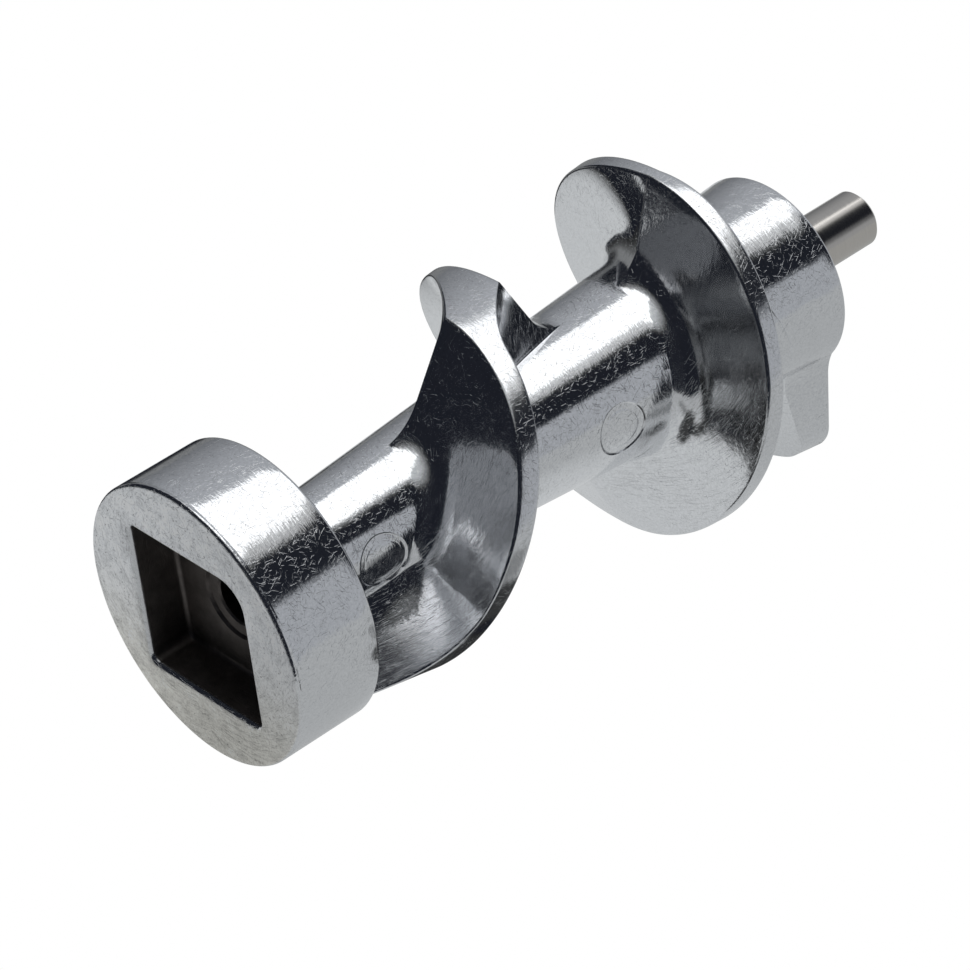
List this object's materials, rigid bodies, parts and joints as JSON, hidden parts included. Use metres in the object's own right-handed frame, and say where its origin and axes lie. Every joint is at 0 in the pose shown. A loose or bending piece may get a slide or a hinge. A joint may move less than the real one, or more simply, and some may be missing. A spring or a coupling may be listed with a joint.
{
  "type": "meat grinder auger",
  "caption": "Die-cast meat grinder screw with a square drive socket in its round hub, a left-handed flight on a core that widens to the front, and a steel pin that carries the knife.",
  "frame": {"origin": "centre of the hub's end face, in the mouth of the drive socket", "axes": "+Z along the screw's axis from the hub to the pin; X and Z lie in the casting's parting plane, and the die halves draw along +Y and -Y"},
  "size_m": [0.0499, 0.0484, 0.1145],
  "materials": {
    "cast_alloy": "bright tumbled and polished die casting with fine scratches",
    "pin_steel": "turned and ground steel"
  },
  "bodies": {
    "root": {"auger_casting": "cast_alloy", "front_pin": "pin_steel"}
  },
  "joints": []
}
